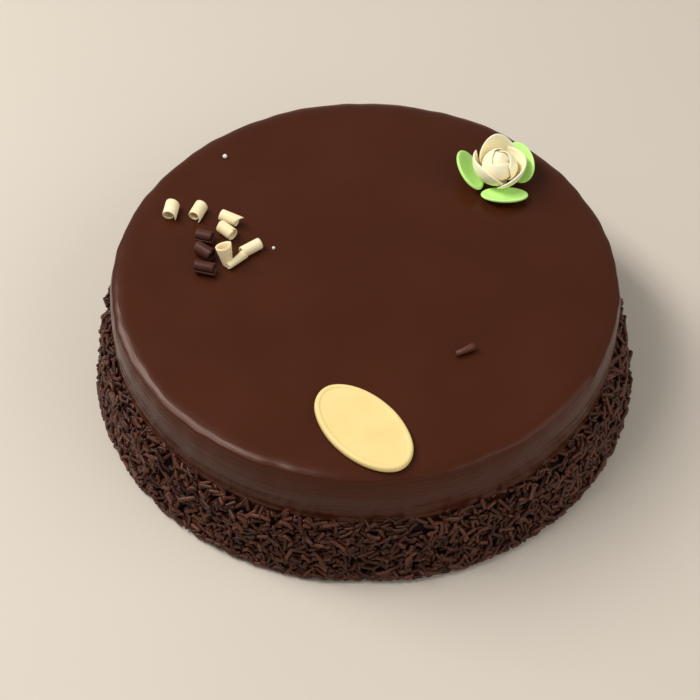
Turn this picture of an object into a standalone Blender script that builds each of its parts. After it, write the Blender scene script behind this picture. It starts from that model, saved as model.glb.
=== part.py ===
# Chocolate cake: glazed round body with a band of chocolate strands round its foot,
# an oval plaque, a cream rose on three leaves, eight chocolate curls and a pencil roll.
# X points right, Y away from the viewer, Z up; the base rests on the plane z = 0.

import math
import random

import bmesh
import bpy
from mathutils import Vector

MM = 0.001

# Driving dimensions of the cake body, in millimetres
BODY_RADIUS = 120.0
BODY_HEIGHT = 62.5
EDGE_ROUNDING = 5.0
EDGE_STEPS = 4
BODY_SIDES = 96
WALL_RIPPLE = 0.25

# Band of chocolate strands round the foot
BAND_HEIGHT = 37.0
BAND_TOP_RADIUS = 122.8
BAND_FOOT_RADIUS = 129.8
BAND_FOOT_INSET = 2.0
BAND_ROWS = 4
BAND_RELIEF = 0.7
STRAND_RADIUS = 0.85
STRAND_SIDES = 5
STRAND_LENGTHS = (5.5, 9.0)
STRAND_COLUMNS = 52
STRAND_ROWS = 5
STRAND_SHARE_POKING = 0.2
STRAND_LIFT = 0.45
STRAND_CLEARANCE = 0.25
STRAND_SEED = 47

# Two small sugar pearls on the glaze: x, y, diameter
PEARLS = ((-69.5, 77.4, 2.3), (-43.4, 16.9, 1.6))
PEARL_SINK = 0.25

# Gap between pieces that touch
GAP = 0.3

# Oval plaque
PLAQUE_CENTRE = (0.0, -90.5)
PLAQUE_HALF_LENGTH = 28.0
PLAQUE_HALF_WIDTH = 16.2
PLAQUE_TURN = 130.6
PLAQUE_THICKNESS = 3.0
PLAQUE_SIDES = 32
PLAQUE_RIM_WIDTH = 2.6
PLAQUE_FACE_DROP = 0.5

# Rose
ROSE_CENTRE = (64.7, 62.8)
ROSE_LIFT = 2.6
ROSE_RADIUS = 13.5
ROSE_HEIGHT = 16.0
ROSE_TUCK = 6.5
CLOSING_HEIGHT = 5.0
CLOSING_REACH = 6.0
PETAL_THICKNESS = 1.25
PETAL_FALL = 2.4
BUD_RADIUS = 8.7
BUD_MIDDLE = 7.5
BUD_TUCK = 1.15
BUD_CLOSING = 0.7
BUD_FOOT_RADIUS = 5.0
BUD_LIFT = 2.0
INNER_THICKNESS = 1.1
INNER_FALL = 2.1
HEART_TOP = 15.7
HEART_CLEARANCE = 0.62
PETAL_STEPS = 8
PETAL_ROWS = 4

# Leaves under the rose: offset of the middle from the rose's axis in x and y, azimuth and
# tilt of the short axis, half length, half width
LEAVES = (
    (2.5, -12.6, -90.0, 17.0, 11.5, 7.0),
    (10.5, 6.8, 22.0, 45.0, 12.6, 8.2),
    (-14.3, 1.2, 188.0, 41.0, 12.6, 8.6),
)
LEAF_THICKNESS = 1.9
LEAF_CUP = 1.2
LEAF_SIDES = 16

# Chocolate curls
CURL_THICKNESS = 0.8
CURL_STEPS = 14

# Pencil roll
ROLL_START = (41.6, -48.2)
ROLL_END = (50.9, -44.6)
ROLL_RADIUS = 1.3
ROLL_BORE = 0.55
ROLL_SIDES = 12


def clear_scene():
    for item in list(bpy.data.objects):
        bpy.data.objects.remove(item, do_unlink=True)


def material(name, colour, roughness):
    made = bpy.data.materials.new(name)
    made.use_nodes = True
    shader = made.node_tree.nodes["Principled BSDF"]
    shader.inputs["Base Color"].default_value = (colour[0], colour[1], colour[2], 1.0)
    shader.inputs["Roughness"].default_value = roughness
    shader.inputs["Metallic"].default_value = 0.0
    return made


def add_object(name, points, faces, surface, smooth=True):
    mesh = bpy.data.meshes.new(name)
    mesh.from_pydata([Vector(p) * MM for p in points], [], faces)
    mesh.update()
    built = bmesh.new()
    built.from_mesh(mesh)
    bmesh.ops.recalc_face_normals(built, faces=built.faces)
    built.to_mesh(mesh)
    built.free()
    mesh.materials.append(surface)
    for face in mesh.polygons:
        face.use_smooth = smooth
    item = bpy.data.objects.new(name, mesh)
    bpy.context.scene.collection.objects.link(item)
    return item


def ring_faces(lower, upper, count):
    return [
        (lower + i, lower + (i + 1) % count, upper + (i + 1) % count, upper + i)
        for i in range(count)
    ]


def rested(points):
    # lowers or lifts the points until the lowest lies just above the glaze
    drop = min(p[2] for p in points) - BODY_HEIGHT - GAP
    return [(p[0], p[1], p[2] - drop) for p in points]


def lathe(rings, bottom, top):
    # rings: lists of points, all of one length, from the bottom centre round to the top centre
    count = len(rings[0])
    points = [bottom]
    faces = []
    for ring in rings:
        points.extend(ring)
    top_index = len(points)
    points.append(top)
    for i in range(count):
        faces.append((0, 1 + (i + 1) % count, 1 + i))
    for level in range(len(rings) - 1):
        faces.extend(ring_faces(1 + level * count, 1 + (level + 1) * count, count))
    last = 1 + (len(rings) - 1) * count
    for i in range(count):
        faces.append((last + i, last + (i + 1) % count, top_index))
    return points, faces


def sheet(outer, inner):
    # outer and inner: grids of points, rows by columns, the two faces of one thick sheet
    rows = len(outer)
    columns = len(outer[0])
    points = [p for row in outer for p in row] + [p for row in inner for p in row]
    back = rows * columns
    faces = []
    for r in range(rows - 1):
        for c in range(columns - 1):
            a = r * columns + c
            faces.append((a, a + 1, a + columns + 1, a + columns))
            faces.append((back + a, back + a + columns, back + a + columns + 1, back + a + 1))
    for c in range(columns - 1):
        last = (rows - 1) * columns + c
        faces.append((c, back + c, back + c + 1, c + 1))
        faces.append((last, last + 1, back + last + 1, back + last))
    for r in range(rows - 1):
        a = r * columns
        b = a + columns - 1
        faces.append((a, a + columns, back + a + columns, back + a))
        faces.append((b, back + b, back + b + columns, b + columns))
    return points, faces


def wall_ripple(angle):
    wave = math.sin(7 * angle + 0.6) + 0.7 * math.sin(11 * angle + 2.1)
    return WALL_RIPPLE * (wave + 0.6 * math.sin(17 * angle + 4.0)) / 2.3


def bed_radius(height):
    # radius of the heaped bed that carries the strands
    share = min(max(height / BAND_HEIGHT, 0.0), 1.0)
    return BAND_FOOT_RADIUS + (BAND_TOP_RADIUS - BAND_FOOT_RADIUS) * share ** 0.85


def body_rings():
    draw = random.Random(STRAND_SEED + 1)
    profile = [(BAND_FOOT_RADIUS - BAND_FOOT_INSET, 0.0, 0.0)]
    for level in range(1, BAND_ROWS + 1):
        height = BAND_HEIGHT * (level - 0.7) / (BAND_ROWS - 0.7)
        profile.append((bed_radius(height), height, BAND_RELIEF))
    profile.append((BODY_RADIUS + 0.5, BAND_HEIGHT + 0.8, -1.0))
    profile.append((BODY_RADIUS, BAND_HEIGHT + 6.0, -1.0))
    for step in range(EDGE_STEPS + 1):
        turn = math.radians(90.0 * step / EDGE_STEPS)
        profile.append((
            BODY_RADIUS - EDGE_ROUNDING * (1.0 - math.cos(turn)),
            BODY_HEIGHT - EDGE_ROUNDING * (1.0 - math.sin(turn)),
            -1.0,
        ))
    rings = []
    for radius, height, relief in profile:
        ring = []
        for i in range(BODY_SIDES):
            angle = 2.0 * math.pi * i / BODY_SIDES
            if relief > 0.0:
                out = radius + draw.uniform(-relief, relief)
            elif relief < 0.0:
                out = radius + wall_ripple(angle)
            else:
                out = radius
            ring.append((out * math.cos(angle), out * math.sin(angle), height))
        rings.append(ring)
    return rings


def strand_object(name, centre, direction, length, surface):
    direction = direction.normalized()
    side = direction.cross(Vector((0.0, 0.0, 1.0)))
    if side.length < 0.2:
        side = direction.cross(Vector((1.0, 0.0, 0.0)))
    side.normalize()
    other = direction.cross(side)
    points = []
    for end in (-0.5, 0.5):
        for i in range(STRAND_SIDES):
            turn = 2.0 * math.pi * (i + 0.5) / STRAND_SIDES
            offset = (side * math.cos(turn) + other * math.sin(turn)) * STRAND_RADIUS
            points.append(tuple(centre + direction * (length * end) + offset))
    faces = ring_faces(0, STRAND_SIDES, STRAND_SIDES)
    faces.append(tuple(range(STRAND_SIDES - 1, -1, -1)))
    faces.append(tuple(range(STRAND_SIDES, 2 * STRAND_SIDES)))
    return add_object(name, points, faces, surface, smooth=False)


def place_strands(surface):
    # largest first, spread evenly in staggered rows, each with its own small random shift
    draw = random.Random(STRAND_SEED)
    spots = [(row, column) for row in range(STRAND_ROWS) for column in range(STRAND_COLUMNS)]
    draw.shuffle(spots)
    made = []
    for index, (row, column) in enumerate(spots):
        shorter = index / len(spots)
        length = STRAND_LENGTHS[1] + (STRAND_LENGTHS[0] - STRAND_LENGTHS[1]) * shorter
        stagger = 0.5 * (row % 2)
        angle = 2.0 * math.pi * (column + stagger + draw.uniform(-0.3, 0.3)) / STRAND_COLUMNS
        height = BAND_HEIGHT * (row + 0.5 + draw.uniform(-0.35, 0.35)) / STRAND_ROWS
        lean = math.radians(draw.uniform(-80.0, 80.0))
        if row == 0:
            lean *= 0.35
        poke = 0.0
        if draw.random() < STRAND_SHARE_POKING:
            poke = math.radians(draw.uniform(12.0, 26.0))
        outward = Vector((math.cos(angle), math.sin(angle), 0.0))
        tangent = Vector((-math.sin(angle), math.cos(angle), 0.0))
        slope = (bed_radius(height + 1.0) - bed_radius(height - 1.0)) / 2.0
        rise = (outward * slope + Vector((0.0, 0.0, 1.0))).normalized()
        along = tangent * math.cos(lean) + rise * math.sin(lean)
        direction = along * math.cos(poke) + outward * math.sin(poke)
        reach = 0.5 * length * abs(direction.normalized().z) + STRAND_RADIUS
        height = min(max(height, reach + STRAND_CLEARANCE), BAND_HEIGHT + 1.5 - reach * 0.6)
        out = bed_radius(height) + STRAND_LIFT + 0.35 * length * math.sin(poke)
        centre = outward * out + Vector((0.0, 0.0, height))
        made.append(strand_object("strand", centre, direction, length, surface))
    return made


def pearl_objects(surface):
    made = []
    for x, y, diameter in PEARLS:
        mesh = bpy.data.meshes.new("pearl")
        built = bmesh.new()
        bmesh.ops.create_icosphere(built, subdivisions=2, radius=0.5 * diameter * MM)
        built.to_mesh(mesh)
        built.free()
        mesh.materials.append(surface)
        item = bpy.data.objects.new("pearl", mesh)
        height = BODY_HEIGHT + 0.5 * diameter - PEARL_SINK
        item.location = Vector((x, y, height)) * MM
        bpy.context.scene.collection.objects.link(item)
        made.append(item)
    return made


def bake(item):
    # writes the evaluated mesh back to the object and drops its modifiers
    graph = bpy.context.evaluated_depsgraph_get()
    done = bpy.data.meshes.new_from_object(item.evaluated_get(graph), depsgraph=graph)
    item.modifiers.clear()
    item.data = done
    return item


def fuse(body, pieces, name):
    group = bpy.data.collections.new(name)
    bpy.context.scene.collection.children.link(group)
    for piece in pieces:
        group.objects.link(piece)
        bpy.context.scene.collection.objects.unlink(piece)
    union = body.modifiers.new("fuse", "BOOLEAN")
    union.operation = "UNION"
    union.operand_type = "COLLECTION"
    union.solver = "EXACT"
    union.collection = group
    bpy.context.view_layer.update()
    bake(body)
    for piece in pieces:
        bpy.data.objects.remove(piece, do_unlink=True)
    bpy.data.collections.remove(group)
    keep_outer_shell(body.data)
    return body


def joined(first, second):
    return any(edge.other_vert(first) is second for edge in first.link_edges)


def ear_quality(before, tip, after, normal):
    # height of the ear over its longest side, negative where the corner turns inward
    first = tip.co - before.co
    second = after.co - tip.co
    area = first.cross(second).dot(normal)
    longest = max(first.length, second.length, (after.co - before.co).length, 1e-12)
    return area / longest ** 2


def holds_point(before, tip, after, others, normal):
    for other in others:
        sides = (
            (tip.co - before.co).cross(other.co - before.co).dot(normal),
            (after.co - tip.co).cross(other.co - tip.co).dot(normal),
            (before.co - after.co).cross(other.co - after.co).dot(normal),
        )
        if min(sides) > -1e-14:
            return True
    return False


def cut_to_triangles(built):
    # cuts ears off every larger face, never along an edge that is already there
    for face in [f for f in built.faces if len(f.verts) > 3]:
        loop = list(face.verts)
        normal = face.normal.copy()
        ears = []
        while len(loop) > 3:
            best = None
            for i, tip in enumerate(loop):
                before = loop[i - 1]
                after = loop[(i + 1) % len(loop)]
                quality = ear_quality(before, tip, after, normal)
                if best is not None and quality <= best[0]:
                    continue
                if quality <= 0.0 or joined(before, after):
                    continue
                others = [v for v in loop if v not in (before, tip, after)]
                if holds_point(before, tip, after, others, normal):
                    continue
                best = (quality, i, before, tip, after)
            if best is None:
                break
            ears.append(best[2:])
            loop.pop(best[1])
        if len(loop) > 3:
            continue
        built.faces.remove(face)
        for ear in ears:
            built.faces.new(ear)
        built.faces.new(loop)
    bmesh.ops.triangulate(built, faces=[f for f in built.faces if len(f.verts) > 3])


def keep_outer_shell(mesh):
    # keeps the largest closed shell; sealed hollows and loose scraps go
    built = bmesh.new()
    built.from_mesh(mesh)
    cut_to_triangles(built)
    built.faces.ensure_lookup_table()
    seen = set()
    shells = []
    for start in built.faces:
        if start.index in seen:
            continue
        seen.add(start.index)
        shell = [start]
        for face in shell:
            for edge in face.edges:
                for near in edge.link_faces:
                    if near.index not in seen:
                        seen.add(near.index)
                        shell.append(near)
        shells.append(shell)
    shells.sort(key=len)
    loose = [face for shell in shells[:-1] for face in shell]
    bmesh.ops.delete(built, geom=loose, context="FACES")
    built.to_mesh(mesh)
    built.free()


def build_cake(surface):
    points, faces = lathe(body_rings(), (0.0, 0.0, 0.0), (0.0, 0.0, BODY_HEIGHT))
    body = add_object("cake", points, faces, surface)
    return fuse(body, place_strands(surface) + pearl_objects(surface), "cake_pieces")


def build_plaque(surface):
    base = BODY_HEIGHT + GAP
    rim = PLAQUE_RIM_WIDTH
    # rows: inset from the outline, height above the base
    rows = (
        (0.7, 0.0),
        (0.0, 0.7),
        (0.0, PLAQUE_THICKNESS - 0.9),
        (0.6, PLAQUE_THICKNESS - 0.1),
        (0.5 * rim, PLAQUE_THICKNESS),
        (rim, PLAQUE_THICKNESS - 0.2),
        (rim + 0.7, PLAQUE_THICKNESS - PLAQUE_FACE_DROP),
    )
    turn = math.radians(PLAQUE_TURN)
    rings = []
    for inset, height in rows:
        ring = []
        for i in range(PLAQUE_SIDES):
            angle = 2.0 * math.pi * i / PLAQUE_SIDES
            u = (PLAQUE_HALF_LENGTH - inset) * math.cos(angle)
            v = (PLAQUE_HALF_WIDTH - inset) * math.sin(angle)
            ring.append((
                PLAQUE_CENTRE[0] + u * math.cos(turn) - v * math.sin(turn),
                PLAQUE_CENTRE[1] + u * math.sin(turn) + v * math.cos(turn),
                base + height,
            ))
        rings.append(ring)
    face_height = base + PLAQUE_THICKNESS - PLAQUE_FACE_DROP
    points, faces = lathe(
        rings,
        (PLAQUE_CENTRE[0], PLAQUE_CENTRE[1], base),
        (PLAQUE_CENTRE[0], PLAQUE_CENTRE[1], face_height),
    )
    return add_object("plaque", points, faces, surface)


def cup_radius(height, closing):
    # radius of the outer petals' cup, narrow at the foot and drawn in again by the closing
    open_share = 1.0 - min(height / ROSE_HEIGHT, 1.0)
    drawn_in = max(0.0, (height - CLOSING_HEIGHT) / CLOSING_REACH) ** 1.5
    return ROSE_RADIUS - ROSE_TUCK * open_share ** 3 - closing * drawn_in


def bud_radius(height):
    # radius of the closed bud, widest at its middle
    if height < BUD_MIDDLE:
        tucked = 1.0 - BUD_TUCK * (1.0 - height / BUD_MIDDLE) ** 2
        return max(BUD_RADIUS * tucked, BUD_FOOT_RADIUS)
    share = (height - BUD_MIDDLE) / (ROSE_HEIGHT - BUD_MIDDLE)
    return BUD_RADIUS * (1.0 - BUD_CLOSING * share ** 2)


def rose_spot(radius, angle, height):
    return (
        ROSE_CENTRE[0] + radius * math.cos(angle),
        ROSE_CENTRE[1] + radius * math.sin(angle),
        BODY_HEIGHT + GAP + ROSE_LIFT + height,
    )


def heart_radius(height):
    return bud_radius(height) - 0.5 * INNER_FALL - INNER_THICKNESS - HEART_CLEARANCE


def petal_grids(petal, closed):
    # petal: start azimuth, end azimuth, rim heights at start, middle and end, sharpness of the
    # rim's arch, closing; a closed petal lies round the bud, an open one in the outer cup
    start, end, low_start, high, low_end, arch, closing = petal
    lift = BUD_LIFT if closed else 0.0
    thickness = INNER_THICKNESS if closed else PETAL_THICKNESS
    fall = INNER_FALL if closed else PETAL_FALL
    outer = []
    inner = []
    for row in range(PETAL_ROWS + 1):
        t = row / PETAL_ROWS
        outer_row = []
        inner_row = []
        for step in range(PETAL_STEPS + 1):
            s = step / PETAL_STEPS
            angle = math.radians(start + (end - start) * s)
            edge = low_start + (low_end - low_start) * s
            rim = edge + (high - edge) * math.sin(math.pi * s) ** arch
            height = lift + t * (rim - lift)
            if closed:
                out = bud_radius(height)
            else:
                out = cup_radius(height, closing * math.sin(math.pi * s))
            out += fall * (0.5 - s)
            thin = thickness * (1.0 - 0.45 * t ** 4)
            if step in (0, PETAL_STEPS):
                thin *= 0.6
            shift = 0.5 * (thickness - thin)
            outer_row.append(rose_spot(out - shift, angle, height))
            inner_row.append(rose_spot(out - shift - thin, angle, height))
        outer.append(outer_row)
        inner.append(inner_row)
    return outer, inner


# Three petals of the open cup
OUTER_PETALS = (
    (262.0, 428.0, 1.4, 12.4, 10.5, 0.75, 0.0),
    (40.0, 154.0, 6.5, 17.4, 6.0, 1.15, 0.3),
    (142.0, 284.0, 10.0, 12.6, 2.2, 0.7, 1.5),
)

# Three petals wrapped round the bud
INNER_PETALS = (
    (196.0, 332.0, 12.2, 13.6, 12.2, 0.75, 0.0),
    (305.0, 458.0, 12.4, 14.6, 12.4, 0.75, 0.0),
    (78.0, 222.0, 12.4, 15.0, 12.4, 0.75, 0.0),
)


def build_rose(surface):
    for index, petal in enumerate(OUTER_PETALS):
        points, faces = sheet(*petal_grids(petal, False))
        add_object("rose_petal_%d" % (index + 1), points, faces, surface)
    for index, petal in enumerate(INNER_PETALS):
        points, faces = sheet(*petal_grids(petal, True))
        add_object("rose_inner_petal_%d" % (index + 1), points, faces, surface)
    build_rose_heart(surface)


def build_rose_heart(surface):
    # closed bud that stands on the glaze and fills the petals
    sides = 14
    rings = []
    for height in (-ROSE_LIFT, 0.0, 3.6, 5.4, 8.0, 11.0, 13.4, 15.0):
        radius = heart_radius(height)
        rings.append([rose_spot(radius, 2.0 * math.pi * i / sides, height) for i in range(sides)])
    points, faces = lathe(rings, rose_spot(0.0, 0.0, -ROSE_LIFT), rose_spot(0.0, 0.0, HEART_TOP))
    add_object("rose_heart", points, faces, surface)


def build_leaves(surface):
    # rows: share of the outline, share of the thickness, from the underside to the top face
    rows = ((0.6, -0.5), (0.93, -0.42), (1.0, 0.0), (0.93, 0.5), (0.8, 0.42), (0.5, 0.3))
    for index, (x, y, azimuth, tilt, half_length, half_width) in enumerate(LEAVES):
        turn = math.radians(azimuth)
        lean = math.radians(tilt)

        def spot(u, v, w):
            # u along the short axis, v across it, w up from the leaf's middle surface
            cup = LEAF_CUP * ((u / half_width) ** 2 + (v / half_length) ** 2)
            w = w + cup - 0.35 * LEAF_CUP
            out = u * math.cos(lean) - w * math.sin(lean)
            up = u * math.sin(lean) + w * math.cos(lean)
            return (
                ROSE_CENTRE[0] + x + out * math.cos(turn) - v * math.sin(turn),
                ROSE_CENTRE[1] + y + out * math.sin(turn) + v * math.cos(turn),
                up,
            )

        rings = []
        for share, depth in rows:
            ring = []
            for i in range(LEAF_SIDES):
                angle = 2.0 * math.pi * i / LEAF_SIDES
                ring.append(spot(
                    share * half_width * math.cos(angle),
                    share * half_length * math.sin(angle),
                    depth * LEAF_THICKNESS,
                ))
            rings.append(ring)
        bottom = spot(0.0, 0.0, -0.5 * LEAF_THICKNESS)
        top = spot(0.0, 0.0, 0.25 * LEAF_THICKNESS)
        points, faces = lathe(rings, bottom, top)
        add_object("rose_leaf_%d" % (index + 1), rested(points), faces, surface)


def curl_points(curl):
    # one sheet rolled round a lying axis
    # curl: middle x and y, azimuth of the axis, tilt of the axis, length, radius at the inner
    # end, radius at the outer end, turn at the inner end, sweep, skew along the axis, corner,
    # amount by which the radius grows from one end to the other
    x, y, azimuth, tilt, length, r_in, r_out, start, sweep, skew, corner, taper = curl
    heading = math.radians(azimuth)
    lean = math.radians(tilt)
    axis = Vector((
        math.cos(heading) * math.cos(lean),
        math.sin(heading) * math.cos(lean),
        math.sin(lean),
    ))
    side = Vector((math.sin(heading), -math.cos(heading), 0.0))
    top = side.cross(axis)
    outer = []
    inner = []
    steps = CURL_STEPS
    for step in range(steps + 1):
        s = step / steps
        turn = math.radians(start + sweep * s)
        radius = r_in + (r_out - r_in) * s
        thin = CURL_THICKNESS
        if step in (0, steps):
            thin *= 0.5
        radial = side * math.cos(turn) + top * math.sin(turn)
        outer_row = []
        inner_row = []
        for end in (-0.5, 0.5):
            along = length * end + skew * (s - 0.5)
            if end > 0.0:
                along += corner * max(0.0, (s - 0.75) / 0.25)
            point = axis * along
            wide = radius + taper * end
            outer_row.append(point + radial * wide)
            inner_row.append(point + radial * (wide - thin))
        outer.append(outer_row)
        inner.append(inner_row)
    points, faces = sheet(outer, inner)
    return rested([(p.x + x, p.y + y, p.z) for p in points]), faces


# Lying white curls, each one rolled sheet
WHITE_CURLS = (
    (-93.6, 39.0, 262.0, 0.0, 8.6, 2.6, 3.8, -195.0, 395.0, 1.6, 0.6, 0.0),
    (-80.6, 38.6, 249.0, 0.0, 8.6, 2.3, 3.7, -178.0, 400.0, 0.6, 0.8, 0.0),
    (-65.2, 33.9, -28.0, 0.0, 9.0, 1.9, 3.3, 95.0, 390.0, 0.8, 2.4, 0.0),
    (-65.8, 25.7, -43.0, 0.0, 8.4, 2.5, 3.7, 60.0, 380.0, 1.0, 0.6, 0.0),
)

# White shaving folded to a V: a raised open loop, a lying roll and the strap between them
FOLDED_PARTS = (
    (-65.6, 6.9, 118.0, 66.0, 10.4, 2.2, 3.5, 10.0, 385.0, 1.2, 0.6, 1.8),
    (-53.9, 14.5, 36.4, 0.0, 10.4, 2.1, 3.4, 200.0, 390.0, 0.8, 0.8, 0.0),
    (-60.6, 7.2, 48.0, 0.0, 11.4, 1.3, 2.3, 150.0, 330.0, 0.4, 0.0, 0.8),
)

# Lying dark curls
DARK_CURLS = (
    (-76.3, 21.6, -15.0, 0.0, 7.8, 2.4, 3.5, -30.0, 390.0, 0.8, 0.8, 0.0),
    (-75.8, 12.2, -38.0, 0.0, 9.2, 2.6, 3.7, 60.0, 385.0, 1.0, 0.5, 0.0),
    (-75.0, 1.6, -14.0, 0.0, 9.6, 2.2, 3.6, -60.0, 420.0, 1.0, 0.6, 0.0),
)


def build_curls(prefix, curls, surface):
    for index, curl in enumerate(curls):
        points, faces = curl_points(curl)
        add_object("%s_%d" % (prefix, index + 1), points, faces, surface)


def build_folded_curl(name, surface):
    made = []
    for part in FOLDED_PARTS:
        points, faces = curl_points(part)
        made.append(add_object(name, points, faces, surface))
    body = made[0]
    return fuse(body, made[1:], "folded_pieces")


def build_roll(surface):
    start = Vector((ROLL_START[0], ROLL_START[1], 0.0))
    end = Vector((ROLL_END[0], ROLL_END[1], 0.0))
    axis = (end - start).normalized()
    side = Vector((axis.y, -axis.x, 0.0))
    height = BODY_HEIGHT + GAP + ROLL_RADIUS
    points = []
    for centre in (start, end):
        for radius in (ROLL_RADIUS, ROLL_BORE):
            for i in range(ROLL_SIDES):
                turn = 2.0 * math.pi * i / ROLL_SIDES
                offset = side * math.cos(turn) + Vector((0.0, 0.0, 1.0)) * math.sin(turn)
                points.append(tuple(centre + offset * radius + Vector((0.0, 0.0, height))))
    n = ROLL_SIDES
    faces = ring_faces(0, 2 * n, n)
    faces += ring_faces(3 * n, n, n)
    faces += ring_faces(n, 0, n)
    faces += ring_faces(2 * n, 3 * n, n)
    add_object("dark_roll", points, faces, surface)


def main():
    clear_scene()
    dark = material("dark_chocolate", (0.072, 0.022, 0.013), 0.3)
    curl_dark = material("curl_chocolate", (0.075, 0.024, 0.016), 0.45)
    ivory = material("white_chocolate", (0.92, 0.78, 0.40), 0.4)
    yellow = material("plaque_chocolate", (0.95, 0.76, 0.30), 0.35)
    cream = material("rose_sugar", (0.96, 0.84, 0.62), 0.5)
    green = material("leaf_sugar", (0.36, 0.78, 0.12), 0.45)
    build_cake(dark)
    build_plaque(yellow)
    build_rose(cream)
    build_leaves(green)
    build_curls("white_curl", WHITE_CURLS, ivory)
    build_folded_curl("white_curl_5", ivory)
    build_curls("dark_curl", DARK_CURLS, curl_dark)
    build_roll(curl_dark)


main()
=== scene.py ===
"""Looks of the chocolate cake: glaze, chocolate strands, plaque, sugar rose and curls.

Lengths are in millimetres up to the point where a mesh is made. Angles in the named values
are in degrees, apart from the phases of waves. X points right, Y away from the viewer, Z up,
and the cake stands on z = 0. Azimuths count from X toward Y.
"""

import math
import random

import bpy
import numpy as np
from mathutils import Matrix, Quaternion, Vector


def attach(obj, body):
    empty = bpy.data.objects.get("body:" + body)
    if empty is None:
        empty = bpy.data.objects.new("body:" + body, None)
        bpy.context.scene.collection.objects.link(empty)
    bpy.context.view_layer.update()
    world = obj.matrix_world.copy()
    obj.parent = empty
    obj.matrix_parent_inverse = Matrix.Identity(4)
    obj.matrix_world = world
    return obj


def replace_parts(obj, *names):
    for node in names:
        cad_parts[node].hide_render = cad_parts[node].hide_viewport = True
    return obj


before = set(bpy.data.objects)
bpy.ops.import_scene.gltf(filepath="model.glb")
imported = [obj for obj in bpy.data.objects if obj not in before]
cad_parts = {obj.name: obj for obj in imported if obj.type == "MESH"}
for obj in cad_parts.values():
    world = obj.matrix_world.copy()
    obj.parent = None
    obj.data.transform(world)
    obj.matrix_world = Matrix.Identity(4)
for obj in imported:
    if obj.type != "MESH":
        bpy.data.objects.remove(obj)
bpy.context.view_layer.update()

MM = 0.001
TAU = 2.0 * math.pi

# Glaze: the flat top falls off over the crown, turns over at the corner and runs down a
# rounded shoulder into the wall
BODY_RADIUS = 120.0
BODY_HEIGHT = 62.5
CROWN_WIDTH = 9.5
CROWN_SLOPE = 31.0
CROWN_STEPS = 24
CORNER_SLOPE = 69.0
CORNER_ROUNDING = 1.0
CORNER_STEPS = 5
SHOULDER_STEPS = 10
WALL_STEPS = 84
GLAZE_SIDES = 576
GLAZE_FOOT = 27.0
GLAZE_FOOT_INSET = 6.0
# Rows of the flat top, as shares of the radius where the crown begins
TOP_SHARES = (0.985, 0.95, 0.9, 0.82, 0.72, 0.6, 0.46, 0.3, 0.15)

# Distance of the corner from the wall, and what is added to it toward the front
CORNER_INSET = 1.3
FRONT_INSET = 2.2
FRONT_AZIMUTH = 262.0

# Lip where the glaze thickens above the band
LIP_HEIGHT = 34.6
LIP_SWELL = 0.4
LIP_SPREAD = 1.1

# Waves round the cake: number of waves, height as a share, phase in radians
WALL_RIPPLE = 0.25
WALL_WAVES = ((7, 1.0, 0.6), (11, 0.7, 2.1), (17, 0.6, 4.0))
EDGE_RIPPLE = 0.12
EDGE_WAVES = ((29, 1.0, 0.5), (43, 0.8, 1.9), (61, 0.7, 4.4), (16, 1.5, 0.0))
TOP_DIP = 0.07
TOP_WAVES = ((9, 1.0, 0.7), (14, 1.0, 2.6))
# The waves of wall and top begin at this radius and grow to their full height over the reach
WAVE_START = 90.0
WAVE_REACH = 25.0

# Marks in the wall, by depth
BROAD_MARK = 0.06
BROKEN_MARK = 0.045
SLOW_MARK = 0.07
FINE_MARK = 0.035
# The marks fade out over this many rows above the wall
MARKED_ROWS = 12
# Nicks in the wall: azimuth, height, half length as an angle
WALL_NICKS = ((261.0, 46.1, 3.4), (312.5, 45.5, 1.8), (283.0, 42.5, 2.2), (214.0, 49.0, 2.4))
NICK_DEPTH = 0.5
NICK_WIDTH = 0.4

# Bed under the strands: it runs from its foot up a slope, over a shoulder and in to the
# wall, each point as radius and height
BED_FOOT = (126.6, 0.0)
BED_SHOULDER = (122.0, 29.0)
BED_TOP = (117.6, 32.2)
SHOULDER_TURN = 3.0
BED_STEP = 0.1
BED_SHARES = (0.02, 0.15, 0.3, 0.45, 0.6, 0.75, 0.87, 0.93, 0.97)
BED_SIDES = 360
BED_SEED = 12
BED_FOOT_INSET = 2.0
BED_DEPTH = 0.9
BED_TOP_INSET = 1.0
BED_TOP_DROP = 0.6
BED_ROUGHNESS = (-0.5, 0.3)

# Strands of the band
STRAND_COUNT = 5200
STRAND_SEED = 7
STRAND_RADIUS = 0.9
STRAND_SIDES = 7
STRAND_LENGTH = 5.6
STRAND_LENGTH_SPREAD = 1.5
SHORTEST_STRAND = 2.6
LONGEST_STRAND = 9.0
THICKNESS_RANGE = (0.9, 1.1)
# A strand's end is round over TIP_LENGTH, most of it over NECK_LENGTH
TIP_LENGTH = 0.6
NECK_LENGTH = 0.22

# Furthest that a strand reaches from the cake's axis, to the sides, and to front and back
STRAND_LIMIT = 131.6
SIDE_LIMIT = 130.7
FRONT_LIMIT = 130.2
LOWEST_POINT = 0.05

# How strands lie: share of them at the foot, share of the rest that lies nearly level,
# spread of the lean of both, and how high up the bed the ones at the foot come
FOOT_SHARE = 0.13
FOOT_LEAN = 14.0
FOOT_ZONE = (0.2, 3.5)
LEVEL_SHARE = 0.45
LEVEL_LEAN = 38.0
# Some strands lean on others at one end, and some are bent
PROPPED_SHARE = 0.12
PROPPED_SLOPE = (0.2, 0.6)
PROPPED_LIFT = 0.3
BENT_SHARE = 0.4
BEND_RANGE = (0.25, 1.1)

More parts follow.
